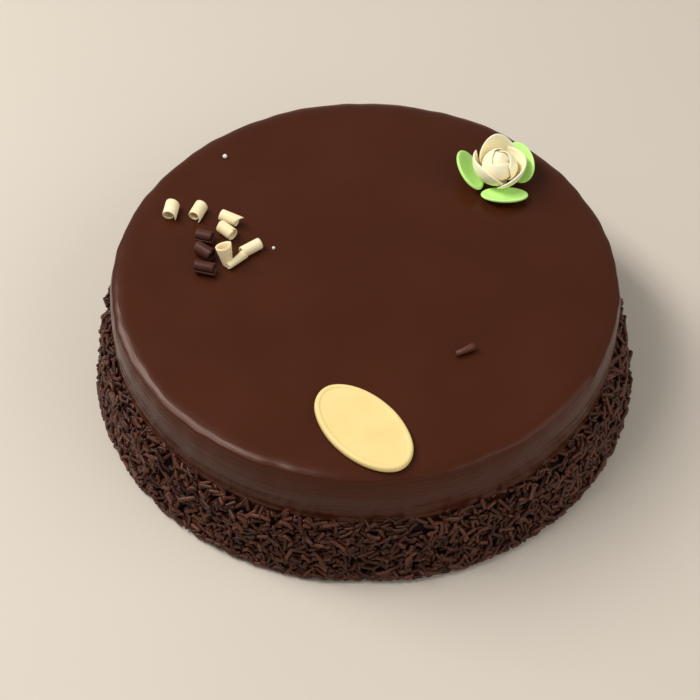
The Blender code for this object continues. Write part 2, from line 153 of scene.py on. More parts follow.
# Heap that the strands settle on: a grid of heights over the unrolled band. Its lean is the
# most that the phase of a wave shifts from foot to top, in radians
GRID_STEP = 0.4
GRID_MARGIN = 6.0
HEAP_WAVES = (5, 9, 14, 23, 31, 44)
HEAP_LEAN = 4.0
HEAP_BASE = 0.3
HEAP_SWELL = 0.5
SPOT_TRIES = 6
BAND_OVERRUN = 0.8
OVERRUN_LOSS = 0.6
STEEPEST_REST = 0.35
SETTLING = 0.1
COVER_SHARE = 0.9
FOOTPRINT_STEPS = 9
FOOTPRINT_ACROSS = (-0.7, -0.35, 0.0, 0.35, 0.7)

# Gap between the toppings and the glaze
GAP = 0.3
REST = BODY_HEIGHT + GAP

# Pearls: middle x, middle y, diameter
PEARLS = ((-69.5, 77.4, 2.3), (-43.4, 16.9, 1.6))
PEARL_SINK = 0.25
PEARL_LEVELS = 12
PEARL_SIDES = 20

# Plaque
PLAQUE_CENTRE = (0.0, -90.5)
PLAQUE_HALF_LENGTH = 28.0
PLAQUE_HALF_WIDTH = 16.2
PLAQUE_TURN = 130.6
PLAQUE_THICKNESS = 3.0
PLAQUE_RIM_WIDTH = 2.6
PLAQUE_FACE = 2.5
PLAQUE_SIDES = 144
# Dents in the outline, and the distance from the edge where they end
PLAQUE_WAVES = ((3, 0.12, 1.0), (5, 0.08, 0.3))
PLAQUE_CALM = 3.0

# Rose: outer petals stand in a cup, inner ones lie round a bud with a heart inside
ROSE_CENTRE = (64.7, 62.8)
ROSE_LIFT = 2.6
ROSE_RADIUS = 13.5
ROSE_HEIGHT = 16.0
ROSE_TUCK = 6.5
CLOSING_HEIGHT = 5.0
CLOSING_REACH = 6.0
PETAL_THICKNESS = 1.25
PETAL_FALL = 2.4
PETAL_STEPS = 44
PETAL_ROWS = 22
PETAL_EDGE = 0.12
PETAL_THINNING = 0.25
BUD_RADIUS = 8.7
BUD_MIDDLE = 7.5
BUD_TUCK = 1.15
BUD_CLOSING = 0.7
BUD_FOOT_RADIUS = 5.0
BUD_LIFT = 2.0
INNER_THICKNESS = 1.1
INNER_FALL = 2.1

# Petals: start azimuth, end azimuth, rim heights at start, middle and end, sharpness of the
# rim's arch, closing
OUTER_PETALS = (
    (262.0, 428.0, 2.3, 12.4, 10.5, 0.75, 0.0),
    (40.0, 154.0, 6.5, 17.4, 6.0, 1.15, 0.3),
    (142.0, 284.0, 10.0, 12.6, 3.0, 0.7, 1.5),
)
INNER_PETALS = (
    (196.0, 332.0, 12.2, 13.6, 12.2, 0.75, 0.0),
    (305.0, 458.0, 12.4, 14.6, 12.4, 0.75, 0.0),
    (78.0, 222.0, 12.4, 15.0, 12.4, 0.75, 0.0),
)

# Heart of the rose
HEART_TOP = 15.7
HEART_TOP_RADIUS = 0.25
HEART_TOP_GAP = 0.15
HEART_CLEARANCE = 0.2
HEART_FOOT_RADIUS = 4.2
HEART_FOOT_SPREAD = 1.7
HEART_FOLD = 0.05
HEART_SIDES = 144
HEART_LEVELS = 40
# A petal keeps its room in the heart until a little past its own end
PETAL_END_SHARE = 1.05

# Leaves: middle x and y from the rose's middle, azimuth, tilt, half length, half width
LEAVES = (
    (2.5, -12.6, -90.0, 17.0, 11.5, 7.0),
    (10.5, 6.8, 22.0, 45.0, 12.6, 8.2),
    (-14.3, 1.2, 188.0, 41.0, 12.6, 8.6),
)
LEAF_THICKNESS = 1.9
LEAF_CUP = 1.2
LEAF_CUP_DROP = 0.35
LEAF_SIDES = 72
# Rows of a leaf from below round the edge to above: share of its size, share of its thickness
LEAF_ROWS = (
    (0.3, -0.5), (0.6, -0.5), (0.82, -0.47), (0.93, -0.36), (0.98, -0.2), (1.0, 0.0),
    (0.985, 0.22), (0.95, 0.4), (0.9, 0.48), (0.84, 0.47), (0.76, 0.4),
    (0.64, 0.33), (0.45, 0.29), (0.25, 0.26),
)
LEAF_MIDDLE = 0.25

# Curls: middle x and y, azimuth of the axis, tilt of the axis, length, radius at the inner
# end, radius at the outer end, turn at the inner end, sweep, skew along the axis, corner,
# amount by which the radius grows from one end to the other
WHITE_CURLS = (
    (-93.6, 39.0, 262.0, 0.0, 8.6, 2.6, 3.8, -195.0, 395.0, 1.6, 0.6, 0.0),
    (-80.6, 38.6, 249.0, 0.0, 8.6, 2.3, 3.7, -178.0, 400.0, 0.6, 0.8, 0.0),
    (-65.2, 33.9, -28.0, 0.0, 9.0, 1.9, 3.3, 95.0, 390.0, 0.8, 2.4, 0.0),
    (-65.8, 25.7, -43.0, 0.0, 8.4, 2.5, 3.7, 60.0, 380.0, 1.0, 0.6, 0.0),
)
FOLDED_PARTS = (
    (-65.6, 6.9, 118.0, 66.0, 10.4, 2.2, 3.5, 10.0, 385.0, 1.2, 0.6, 1.8),
    (-53.9, 14.5, 36.4, 0.0, 10.4, 2.1, 3.4, 200.0, 390.0, 0.8, 0.8, 0.0),
    (-60.6, 7.2, 48.0, 0.0, 11.4, 1.3, 2.3, 150.0, 330.0, 0.4, 0.0, 0.8),
)
DARK_CURLS = (
    (-76.3, 21.6, -15.0, 0.0, 7.8, 2.4, 3.5, -30.0, 390.0, 0.8, 0.8, 0.0),
    (-75.8, 12.2, -38.0, 0.0, 9.2, 2.6, 3.7, 60.0, 385.0, 1.0, 0.5, 0.0),
    (-75.0, 1.6, -14.0, 0.0, 9.6, 2.2, 3.6, -60.0, 420.0, 1.0, 0.6, 0.0),
)
CURL_THICKNESS = 0.8
CURL_STEPS = 72
CURL_ACROSS = 12
# Shares of the thickness left at the sheet's ends and at its sides, and share of its sweep
# where the corner begins to be drawn out
CURL_END = 0.35
CURL_SIDE = 0.7
CURL_CORNER = 0.75

# Dark roll, narrow at its start and wide at its end by the taper
ROLL_START = (41.6, -48.2)
ROLL_END = (50.2, -43.8)
ROLL_RADIUS = 1.55
ROLL_TAPER = 0.3
ROLL_BORE = 0.75
ROLL_SIDES = 28

# Colours as red, green and blue shares of light: tones of the strands, then the floor
STRAND_TONES = (
    ("strand_dark", (0.032, 0.0096, 0.0052), (0.054, 0.016, 0.0088)),
    ("strand_middle", (0.050, 0.0150, 0.0078), (0.082, 0.0255, 0.013)),
    ("strand_light", (0.076, 0.0240, 0.0125), (0.126, 0.042, 0.023)),
)
FLOOR_TONES = ((0.60, 0.535, 0.45), (0.64, 0.575, 0.49))

# Stage, in metres and watts: name, place, size, roll about its own axis, power, colour
LIGHTS = (
    ("key", (-0.84, 0.2, 1.24), (1.45, 0.40), 44.0, 23.0, (1.0, 0.985, 0.96)),
    ("fill", (1.1, -0.5, 0.9), (1.6, 1.2), 0.0, 8.2, (1.0, 0.98, 0.96)),
)
LIGHT_AIM = (0.0, 0.0, 0.03)
ROOM_COLOUR = (1.0, 0.985, 0.97, 1.0)
ROOM_STRENGTH = 0.3
FLOOR_REACH = 4.0
FLOOR_DROP = 0.0003

# Camera: distance in metres, angles in degrees, lens and sensor in millimetres
CAMERA_DISTANCE = 1.0
CAMERA_ELEVATION = 50.83
CAMERA_PITCH = 50.545
CAMERA_YAW = -0.4
CAMERA_LENS = 104.25
CAMERA_SENSOR = 36.0
CAMERA_NEAR = 0.05
CAMERA_FAR = 20.0


# Shader parts, with their lengths in metres

def new_material(name, roughness, specular):
    made = bpy.data.materials.new(name)
    made.use_nodes = True
    shader = made.node_tree.nodes["Principled BSDF"]
    shader.inputs["Roughness"].default_value = roughness
    shader.inputs["Specular IOR Level"].default_value = specular
    return made, made.node_tree, shader


def object_coordinates(tree):
    return tree.nodes.new("ShaderNodeTexCoord").outputs["Object"]


def mapped(tree, vector, scale):
    node = tree.nodes.new("ShaderNodeMapping")
    node.inputs["Scale"].default_value = scale
    tree.links.new(vector, node.inputs["Vector"])
    return node.outputs["Vector"]


def noise(tree, vector, scale, detail):
    node = tree.nodes.new("ShaderNodeTexNoise")
    node.inputs["Scale"].default_value = scale
    node.inputs["Detail"].default_value = detail
    node.inputs["Roughness"].default_value = 0.5
    tree.links.new(vector, node.inputs["Vector"])
    return node.outputs["Fac"]


def ramp(tree, factor, stops):
    node = tree.nodes.new("ShaderNodeValToRGB")
    for element, (place, colour) in zip(node.color_ramp.elements, stops):
        element.position = place
        element.color = (*colour, 1.0)
    tree.links.new(factor, node.inputs["Fac"])
    return node.outputs["Color"]


def ranged(tree, factor, low, high):
    node = tree.nodes.new("ShaderNodeMapRange")
    node.inputs["To Min"].default_value = low
    node.inputs["To Max"].default_value = high
    tree.links.new(factor, node.inputs["Value"])
    return node.outputs["Result"]


def bump(tree, shader, height, strength, distance):
    node = tree.nodes.new("ShaderNodeBump")
    node.inputs["Strength"].default_value = strength
    node.inputs["Distance"].default_value = distance
    tree.links.new(height, node.inputs["Height"])
    tree.links.new(node.outputs["Normal"], shader.inputs["Normal"])


# Materials

def glaze_material():
    made, tree, shader = new_material("glaze", 0.27, 0.23)
    shader.inputs["Specular Tint"].default_value = (1.0, 0.78, 0.72, 1.0)
    place = object_coordinates(tree)
    cloud = noise(tree, place, 22.0, 2.0)
    colour = ramp(tree, cloud, ((0.35, (0.052, 0.0122, 0.0044)), (0.7, (0.059, 0.0143, 0.0056))))
    tree.links.new(colour, shader.inputs["Base Color"])
    smear = noise(tree, mapped(tree, place, (1.0, 1.0, 14.0)), 30.0, 3.0)
    tree.links.new(ranged(tree, smear, 0.21, 0.33), shader.inputs["Roughness"])
    streak = noise(tree, mapped(tree, place, (1.0, 1.0, 40.0)), 24.0, 3.0)
    bump(tree, shader, streak, 0.45, 0.0006)
    return made


def mottled_material(name, dark, light, scale, roughness, grain, subsurface=0.0, glow=None):
    # colour and roughness vary in soft patches, and a fine grain roughens the surface
    made, tree, shader = new_material(name, 0.5, 0.22)
    place = object_coordinates(tree)
    cloud = noise(tree, place, scale, 3.0)
    tree.links.new(ramp(tree, cloud, ((0.3, dark), (0.7, light))), shader.inputs["Base Color"])
    low, high = roughness
    tree.links.new(ranged(tree, cloud, low, high), shader.inputs["Roughness"])
    bump(tree, shader, noise(tree, place, grain, 2.0), 0.12, 0.0003)
    if subsurface > 0.0:
        shader.inputs["Subsurface Weight"].default_value = subsurface
        shader.inputs["Subsurface Radius"].default_value = glow
        shader.inputs["Subsurface Scale"].default_value = 0.002
    return made


def painted_shade_bed_material():
    # painted shade: the bed is coloured far darker than any strand to stand in for the shade deep in
    # the gaps between them
    return mottled_material(
        "strand_bed_painted_shade", (0.014, 0.005, 0.003), (0.026, 0.009, 0.005), 300.0, (0.6, 0.8), 900.0
    )


def strand_materials():
    return [
        mottled_material(name, dark, light, 260.0, (0.26, 0.42), 1500.0)
        for name, dark, light in STRAND_TONES
    ]


def pearl_material():
    return mottled_material(
        "pearl", (0.75, 0.68, 0.6), (0.86, 0.8, 0.73), 500.0, (0.3, 0.45), 900.0
    )


def plaque_material():
    return mottled_material(
        "plaque_chocolate", (0.83, 0.63, 0.26), (0.86, 0.68, 0.30), 60.0, (0.38, 0.5), 400.0,
        0.15, (1.0, 0.7, 0.3),
    )


def rose_material():
    return mottled_material(
        "rose_sugar", (1.0, 0.90, 0.60), (1.0, 0.94, 0.70), 90.0, (0.45, 0.6), 500.0,
        0.12, (1.0, 0.85, 0.55),
    )


def leaf_material():
    return mottled_material(
        "leaf_sugar", (0.52, 0.89, 0.23), (0.60, 0.95, 0.30), 80.0, (0.35, 0.5), 500.0,
        0.12, (0.5, 1.0, 0.2),
    )


def white_chocolate():
    return mottled_material(
        "white_chocolate", (0.89, 0.72, 0.41), (0.94, 0.81, 0.54), 150.0, (0.38, 0.52), 700.0,
        0.15, (1.0, 0.75, 0.35),
    )


def dark_chocolate():
    return mottled_material(
        "dark_chocolate", (0.052, 0.015, 0.009), (0.088, 0.027, 0.017), 200.0, (0.4, 0.55), 700.0
    )


def roll_chocolate():
    return mottled_material(
        "roll_chocolate", (0.080, 0.026, 0.016), (0.125, 0.043, 0.027), 400.0, (0.4, 0.55), 900.0
    )


# Meshes

def add_piece(name, points, faces, surface):
    mesh = bpy.data.meshes.new(name)
    mesh.from_pydata((np.asarray(points, dtype=float) * MM).tolist(), [], faces)
    mesh.materials.append(surface)
    mesh.polygons.foreach_set("use_smooth", [True] * len(mesh.polygons))
    mesh.update()
    piece = bpy.data.objects.new(name, mesh)
    bpy.context.scene.collection.objects.link(piece)
    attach(piece, "root")
    return piece


def ring_faces(lower, upper, count):
    return [
        (lower + i, lower + (i + 1) % count, upper + (i + 1) % count, upper + i)
        for i in range(count)
    ]


def lathe(rings, bottom, top):
    # rings run from the bottom centre out, up and back in to the top centre
    count = len(rings[0])
    points = [bottom]
    for ring in rings:
        points.extend(ring)
    top_index = len(points)
    points.append(top)
    faces = [(0, 1 + (i + 1) % count, 1 + i) for i in range(count)]
    for level in range(len(rings) - 1):
        faces.extend(ring_faces(1 + level * count, 1 + (level + 1) * count, count))
    last = 1 + (len(rings) - 1) * count
    faces.extend((last + i, last + (i + 1) % count, top_index) for i in range(count))
    return points, faces


def sheet(outer, inner):
    # outer and inner: grids of points, the two faces of one thick sheet
    rows = len(outer)
    columns = len(outer[0])
    points = [p for row in outer for p in row] + [p for row in inner for p in row]
    back = rows * columns
    faces = []
    for r in range(rows - 1):
        for c in range(columns - 1):
            a = r * columns + c
            faces.append((a, a + 1, a + columns + 1, a + columns))
            faces.append((back + a, back + a + columns, back + a + columns + 1, back + a + 1))
    for c in range(columns - 1):
        last = (rows - 1) * columns + c
        faces.append((c, back + c, back + c + 1, c + 1))
        faces.append((last, last + 1, back + last + 1, back + last))
    for r in range(rows - 1):
        a = r * columns
        b = a + columns - 1
        faces.append((a, a + columns, back + a + columns, back + a))
        faces.append((b, back + b, back + b + columns, b + columns))
    return points, faces


def face_outward(piece):
    # turns the faces outward where the points ran the other way round
    mesh = piece.data
    volume = 0.0
    for face in mesh.polygons:
        corners = [mesh.vertices[i].co for i in face.vertices]
        for j in range(1, len(corners) - 1):
            volume += corners[0].dot(corners[j].cross(corners[j + 1]))
    if volume < 0.0:
        mesh.flip_normals()
    return piece


def rested(points):
    # lowers or lifts the points until the lowest one is the gap above the glaze
    drop = min(p[2] for p in points) - REST
    return [(p[0], p[1], p[2] - drop) for p in points]


def turned(centre, turn, u, v):
    # place of the point u along and v across a heading of 'turn' radians
    x = centre[0] + u * math.cos(turn) - v * math.sin(turn)
    y = centre[1] + u * math.sin(turn) + v * math.cos(turn)
    return x, y


def wave_sum(angle, waves):
    return sum(height * math.sin(count * angle + phase) for count, height, phase in waves)


# Glaze

def wall_ripple(angle):
    return WALL_RIPPLE * wave_sum(angle, WALL_WAVES) / sum(wave[1] for wave in WALL_WAVES)


def wall_streak(angle, height):
    # shallow marks left along the wall where the glaze was smoothed
    drift = 0.9 * math.sin(3 * angle + 1.0) + 0.5 * math.sin(8 * angle)
    broad = math.sin(1.15 * height + drift)
    broken = math.sin(3.9 * height - 1.7 * drift + 2.0) * math.sin(5 * angle + 0.4)
    slow = math.sin(0.55 * height + 2.2 * math.sin(6 * angle + 2.0))
    fine = math.sin(5.3 * height + 2.6 * math.sin(4 * angle + 0.8) + 9.0 * math.sin(angle))
    fine *= 0.5 + 0.5 * math.sin(0.45 * height + 7 * angle + 1.3)
    marks = BROAD_MARK * broad + BROKEN_MARK * broken + SLOW_MARK * slow + FINE_MARK * fine
    for place, level, half_length in WALL_NICKS:
        away = (math.degrees(angle) - place) / half_length
        marks -= NICK_DEPTH * math.exp(-away ** 2 - ((height - level) / NICK_WIDTH) ** 2)
    return marks


def corner_inset(angle):
    # distance of the top's corner line from the wall, greatest at the front
    toward_front = max(0.0, math.cos(angle - math.radians(FRONT_AZIMUTH)))
    ripple = EDGE_RIPPLE * wave_sum(angle, EDGE_WAVES)
    return CORNER_INSET + FRONT_INSET * toward_front ** 1.5 + ripple


def upper_profile(angle):
    # radius and height from the top of the wall over the shoulder and corner up the crown
    first = math.radians(CROWN_SLOPE)
    last = math.radians(CORNER_SLOPE)
    rim = BODY_RADIUS - corner_inset(angle)
    rows = [(rim - CROWN_WIDTH, BODY_HEIGHT)]
    for i in range(CROWN_STEPS):
        slope = first * ((i + 0.5) / CROWN_STEPS) ** 2
        radius, height = rows[-1]
        width = CROWN_WIDTH / CROWN_STEPS
        rows.append((radius + width, height - width * math.tan(slope)))
    for i in range(CORNER_STEPS):
        slope = first + (last - first) * (i + 0.5) / CORNER_STEPS
        arc = CORNER_ROUNDING * (last - first) / CORNER_STEPS
        radius, height = rows[-1]
        rows.append((radius + arc * math.cos(slope), height - arc * math.sin(slope)))
    radius, height = rows[-1]
    width = BODY_RADIUS - radius
    fall = 2.0 * width * math.tan(last)
    for i in range(1, SHOULDER_STEPS + 1):
        u = i / SHOULDER_STEPS
        rows.append((radius + width * (1.0 - (1.0 - u) ** 2), height - fall * u))
    return rows[::-1]


def glaze_column(angle):
    # radius and height of every row of the glaze at one azimuth, from the foot up
    upper = upper_profile(angle)
    wall_top = upper[0][1]
    column = [(BODY_RADIUS - GLAZE_FOOT_INSET, GLAZE_FOOT), (BODY_RADIUS, GLAZE_FOOT)]
    for i in range(1, WALL_STEPS):
        height = GLAZE_FOOT + (wall_top - GLAZE_FOOT) * i / WALL_STEPS
        lip = LIP_SWELL * math.exp(-((height - LIP_HEIGHT) / LIP_SPREAD) ** 2)
        column.append((BODY_RADIUS + lip + wall_streak(angle, height), height))
    for index, (radius, height) in enumerate(upper):
        share = max(0.0, 1.0 - index / MARKED_ROWS)
        column.append((radius + share * wall_streak(angle, height), height))
    inner = upper[-1][0]
    for share in TOP_SHARES:
        column.append((inner * share, BODY_HEIGHT))
    return column


def build_glaze(surface):
    angles = [TAU * i / GLAZE_SIDES for i in range(GLAZE_SIDES)]
    columns = [glaze_column(angle) for angle in angles]
    rings = []
    for level in range(len(columns[0])):
        ring = []
        for angle, column in zip(angles, columns):
            radius, height = column[level]
            near_edge = min(max((radius - WAVE_START) / WAVE_REACH, 0.0), 1.0)
            out = radius + wall_ripple(angle) * near_edge
            if height > GLAZE_FOOT:
                height -= TOP_DIP * near_edge * (2.0 + wave_sum(angle, TOP_WAVES))
            ring.append((out * math.cos(angle), out * math.sin(angle), height))
        rings.append(ring)
    points, faces = lathe(rings, (0.0, 0.0, GLAZE_FOOT), (0.0, 0.0, BODY_HEIGHT))
    piece = add_piece("glaze_body", points, faces, surface)
    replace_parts(piece, "cake")


# Bed of the band

def trace_bed():
    # the bed's face from its foot up the slope and over the shoulder to the wall:
    # rows of radius, height and heading, one for each step
    first = math.atan2(BED_SHOULDER[1] - BED_FOOT[1], BED_SHOULDER[0] - BED_FOOT[0])
    second = math.atan2(BED_TOP[1] - BED_SHOULDER[1], BED_TOP[0] - BED_SHOULDER[0])
    slope = math.dist(BED_FOOT, BED_SHOULDER)
    ledge = math.dist(BED_SHOULDER, BED_TOP)
    radius, height = BED_FOOT
    rows = []
    for step in range(int((slope + ledge) / BED_STEP) + 1):
        share = min(max((BED_STEP * step - slope) / SHOULDER_TURN + 0.5, 0.0), 1.0)
        heading = first + (second - first) * share
        rows.append((radius, height, heading))
        radius += BED_STEP * math.cos(heading)
        height += BED_STEP * math.sin(heading)
    return rows


BED_ROWS = trace_bed()
BED_LENGTH = BED_STEP * (len(BED_ROWS) - 1)


def bed_frame(rise):
    # radius, height and heading of the bed's face 'rise' millimetres up from its foot
    index = min(max(int(round(rise / BED_STEP)), 0), len(BED_ROWS) - 1)
    radius, height, heading = BED_ROWS[index]
    beyond = rise - BED_STEP * index
    return radius + beyond * math.cos(heading), height + beyond * math.sin(heading), heading


def build_bed(surface):
    # dark ground that shows between the strands, its colour a painted shade standing in for the
    # shade deep in the gaps
    draw = random.Random(BED_SEED)
    levels = [(BED_FOOT[0] - BED_FOOT_INSET, 0.0)]
    for share in BED_SHARES:
        radius, height, heading = bed_frame(share * BED_LENGTH)
        inward = BED_DEPTH * math.sin(heading)
        upward = BED_DEPTH * math.cos(heading)
        levels.append((radius - inward, height + upward))
    top = BED_TOP[1] - BED_TOP_DROP
    levels.append((BODY_RADIUS - BED_TOP_INSET, top))
    rings = []
    for radius, height in levels:
        ring = []
        for i in range(BED_SIDES):
            angle = TAU * i / BED_SIDES
            out = radius + draw.uniform(*BED_ROUGHNESS)
            ring.append((out * math.cos(angle), out * math.sin(angle), height))
        rings.append(ring)
    points, faces = lathe(rings, (0.0, 0.0, 0.0), (0.0, 0.0, top))
    piece = add_piece("strand_bed", points, faces, surface)
    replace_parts(piece, "cake")


# Strands of the band

def bumpy_ground(rows, columns, draw):
    # uneven heap under the strands: a few long waves round the band
    u = np.arange(columns) / columns * TAU
    v = np.linspace(0.0, 1.0, rows)
    ground = np.zeros((rows, columns))
    for waves in HEAP_WAVES:
        phase = draw.uniform(0.0, TAU)
        lean = draw.uniform(-HEAP_LEAN, HEAP_LEAN)
        ground += np.sin(waves * u[None, :] + phase + lean * v[:, None]) / len(HEAP_WAVES)
    return HEAP_BASE + HEAP_SWELL * ground


def draw_strand(draw):
    # length, radius, whether it lies at the foot, and lean in radians
    length = draw.gauss(STRAND_LENGTH, STRAND_LENGTH_SPREAD)
    length = min(max(length, SHORTEST_STRAND), LONGEST_STRAND)
    thick = STRAND_RADIUS * draw.uniform(*THICKNESS_RANGE)
    foot = draw.random() < FOOT_SHARE
    lean = draw.uniform(-90.0, 90.0)
    if foot:
        lean = draw.gauss(0.0, FOOT_LEAN)
    elif draw.random() < LEVEL_SHARE:
        lean = draw.gauss(0.0, LEVEL_LEAN)
    return length, thick, foot, math.radians(lean)


def lowest_spot(draw, ground, girth, foot, reach, thick):
    # lowest of a few random spots on the unrolled band
    best = None
    for attempt in range(SPOT_TRIES):
        u = draw.uniform(0.0, girth)
        v = draw.uniform(0.0, BED_LENGTH + BAND_OVERRUN - OVERRUN_LOSS * reach)
        if foot:
            v = draw.uniform(*FOOT_ZONE)
        v = max(v, reach + thick)
        level = ground[int(v / GRID_STEP), int(u / GRID_STEP) % ground.shape[1]]
        if best is None or level < best[0]:
            best = (level, u, v)
    return best[1:]


def cells_under(ground, spot, lean, along, across):
    # rows and columns of the grid under a strand that lies at the spot
    u = spot[0] + along[:, None] * math.cos(lean) - across[None, :] * math.sin(lean)
    v = spot[1] + along[:, None] * math.sin(lean) + across[None, :] * math.cos(lean)
    rows, columns = ground.shape
    row = np.clip((v / GRID_STEP).astype(int), 0, rows - 1)
    column = (u / GRID_STEP).astype(int) % columns
    return row, column


def resting_line(heights, along):
    # line that a strand settles on, pressed a little into those below: height and slope
    slope, middle = np.polyfit(along, heights, 1)
    slope = max(-STEEPEST_REST, min(STEEPEST_REST, slope))
    left_over = (heights - middle - slope * along).max()
    return middle + SETTLING * left_over, slope


def drop_strands():
    # strands fall one after another on the unrolled band and settle on those below
    draw = random.Random(STRAND_SEED)
    girth = TAU * 0.5 * (BED_FOOT[0] + BED_SHOULDER[0])
    rows = int((BED_LENGTH + GRID_MARGIN) / GRID_STEP)
    ground = bumpy_ground(rows, int(girth / GRID_STEP), draw)
    across = np.array(FOOTPRINT_ACROSS) * STRAND_RADIUS
    dome = np.sqrt(STRAND_RADIUS ** 2 - across ** 2)
    laid = []
    for index in range(STRAND_COUNT):
        length, thick, foot, lean = draw_strand(draw)
        reach = abs(math.sin(lean)) * 0.5 * length
        spot = lowest_spot(draw, ground, girth, foot, reach, thick)
        along = np.linspace(-0.5, 0.5, FOOTPRINT_STEPS) * (length - TIP_LENGTH)
        below = ground[cells_under(ground, spot, lean, along, across)]
        heights = (below + dome[None, :] - STRAND_RADIUS).mean(axis=1)
        level, tilt = resting_line(heights, along)
        if draw.random() < PROPPED_SHARE:
            extra = draw.uniform(*PROPPED_SLOPE) * draw.choice((-1.0, 1.0))
            level += abs(extra) * PROPPED_LIFT * length
            tilt += extra
        level += thick
        along = np.linspace(-0.5, 0.5, 2 * int(length / GRID_STEP) + 1) * length
        covered = level + tilt * along[:, None] + dome[None, :] * COVER_SHARE
        np.maximum.at(ground, cells_under(ground, spot, lean, along, across), covered)
        bend = 0.0
        if draw.random() < BENT_SHARE:
            bend = draw.uniform(*BEND_RANGE) * draw.choice((-1.0, 1.0))
        laid.append((spot[0] / girth * TAU, spot[1], level, lean, tilt, length, thick, bend))
    return laid


def strand_profile(half):
    # stations along a strand: place, share of its radius
    neck = half - NECK_LENGTH
    tip = half - TIP_LENGTH
    return (
        (-half, 0.5), (-neck, 0.9), (-tip, 1.0), (-0.4 * half, 1.0),
        (0.4 * half, 1.0), (tip, 1.0), (neck, 0.9), (half, 0.5),
    )


def held_inside(points, outward):
    # moves a strand back inside the band's limits and up from the ground
    radial = np.hypot(points[:, 0], points[:, 1]).max()
    if radial > STRAND_LIMIT:
        points -= outward * (radial - STRAND_LIMIT)
    for side, limit in ((0, SIDE_LIMIT), (1, FRONT_LIMIT)):
        beyond = np.abs(points[:, side]).max() - limit
        if beyond > 0.0:
            points[:, side] -= beyond * math.copysign(1.0, outward[side])
    low = points[:, 2].min()
    if low < LOWEST_POINT:
        points[:, 2] += LOWEST_POINT - low
    return points


def strand_points(strand):
    # rings of points along one strand, rounded at both ends
    angle, v, level, lean, tilt, length, thick, bend = strand
    outward = np.array((math.cos(angle), math.sin(angle), 0.0))
    tangent = np.array((-math.sin(angle), math.cos(angle), 0.0))
    up = np.array((0.0, 0.0, 1.0))
    r, z, heading = bed_frame(v)
    rise = outward * math.cos(heading) + up * math.sin(heading)
    normal = outward * math.sin(heading) - up * math.cos(heading)
    along = tangent * math.cos(lean) + rise * math.sin(lean)
    sideways = rise * math.cos(lean) - tangent * math.sin(lean)
    axis = along + normal * tilt
    axis /= np.linalg.norm(axis)
    lifted = np.cross(axis, sideways)
    middle = outward * r + up * z + normal * level
    half = 0.5 * length
    turns = np.arange(STRAND_SIDES) * TAU / STRAND_SIDES
    circle = np.cos(turns)[:, None] * sideways + np.sin(turns)[:, None] * lifted
    rings = []
    for x, share in strand_profile(half):
        shift = bend * (0.5 - (x / half) ** 2)
        rings.append(middle + axis * x + sideways * shift + circle * (thick * share))
    return held_inside(np.concatenate(rings), outward)


def strand_faces():
    stations = len(strand_profile(STRAND_LENGTH))
    n = STRAND_SIDES
    quads = []
    for level in range(stations - 1):
        quads.extend(ring_faces(level * n, (level + 1) * n, n))
    caps = [tuple(range(n - 1, -1, -1)), tuple(range((stations - 1) * n, stations * n))]
    return quads + caps


def build_strands(surfaces):
    # one piece for each tone, every strand in the next tone after the one before
    laid = drop_strands()
    pattern = strand_faces()
    for kind, surface in enumerate(surfaces):
        block = [strand_points(strand) for strand in laid[kind::len(surfaces)]]
        size = len(block[0])
        faces = []
        for index in range(len(block)):
            base = index * size
            faces.extend(tuple(base + i for i in face) for face in pattern)
        name = "strands_%d" % (kind + 1)
        piece = add_piece(name, np.concatenate(block), faces, surface)
        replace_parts(piece, "cake")


# Pearls

def build_pearls(surface):
    points = []
    faces = []
    for x, y, diameter in PEARLS:
        radius = 0.5 * diameter
        base = BODY_HEIGHT - PEARL_SINK
        rings = []
        for level in range(1, PEARL_LEVELS):
            turn = math.pi * level / PEARL_LEVELS
            out = radius * math.sin(turn)
            height = base + radius - radius * math.cos(turn)
            ring = []
            for i in range(PEARL_SIDES):
                angle = TAU * i / PEARL_SIDES
                ring.append((x + out * math.cos(angle), y + out * math.sin(angle), height))
            rings.append(ring)
        some, more = lathe(rings, (x, y, base), (x, y, base + diameter))
        start = len(points)
        points.extend(some)
        faces.extend(tuple(start + i for i in face) for face in more)
    piece = add_piece("pearls", points, faces, surface)
    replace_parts(piece, "cake")


# Plaque

def plaque_profile():
    # distance from the edge and height, from below round the rim and in over the face
    rim = PLAQUE_RIM_WIDTH
    return (
        (0.9, 0.0), (0.3, 0.15), (0.0, 0.6),
        (0.0, 1.4), (0.05, 2.0), (0.25, 2.45), (0.6, 2.8), (1.0, 2.96),
        (0.5 * rim, PLAQUE_THICKNESS), (1.9, 2.99), (2.2, 2.93), (rim - 0.1, 2.74),
        (rim + 0.15, 2.56), (rim + 0.4, PLAQUE_FACE), (6.0, PLAQUE_FACE), (10.0, PLAQUE_FACE),
    )


def build_plaque(surface):
    turn = math.radians(PLAQUE_TURN)
    rings = []
    for inset, height in plaque_profile():
        ring = []
        for i in range(PLAQUE_SIDES):
            angle = TAU * i / PLAQUE_SIDES
            dent = abs(wave_sum(angle, PLAQUE_WAVES)) * (1.0 - min(1.0, inset / PLAQUE_CALM))
            u = (PLAQUE_HALF_LENGTH - inset - dent) * math.cos(angle)
            v = (PLAQUE_HALF_WIDTH - inset - dent) * math.sin(angle)
            ring.append((*turned(PLAQUE_CENTRE, turn, u, v), REST + height))
        rings.append(ring)
    bottom = (*PLAQUE_CENTRE, REST)
    top = (*PLAQUE_CENTRE, REST + PLAQUE_FACE)
    points, faces = lathe(rings, bottom, top)
    piece = add_piece("plaque_oval", points, faces, surface)
    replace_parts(piece, "plaque")


# Rose

def cup_radius(height, closing):
    # radius of the outer petals' cup, narrow at the foot and drawn in again by the closing
    open_share = 1.0 - min(height / ROSE_HEIGHT, 1.0)
    drawn_in = max(0.0, (height - CLOSING_HEIGHT) / CLOSING_REACH) ** 1.5
    return ROSE_RADIUS - ROSE_TUCK * open_share ** 3 - closing * drawn_in


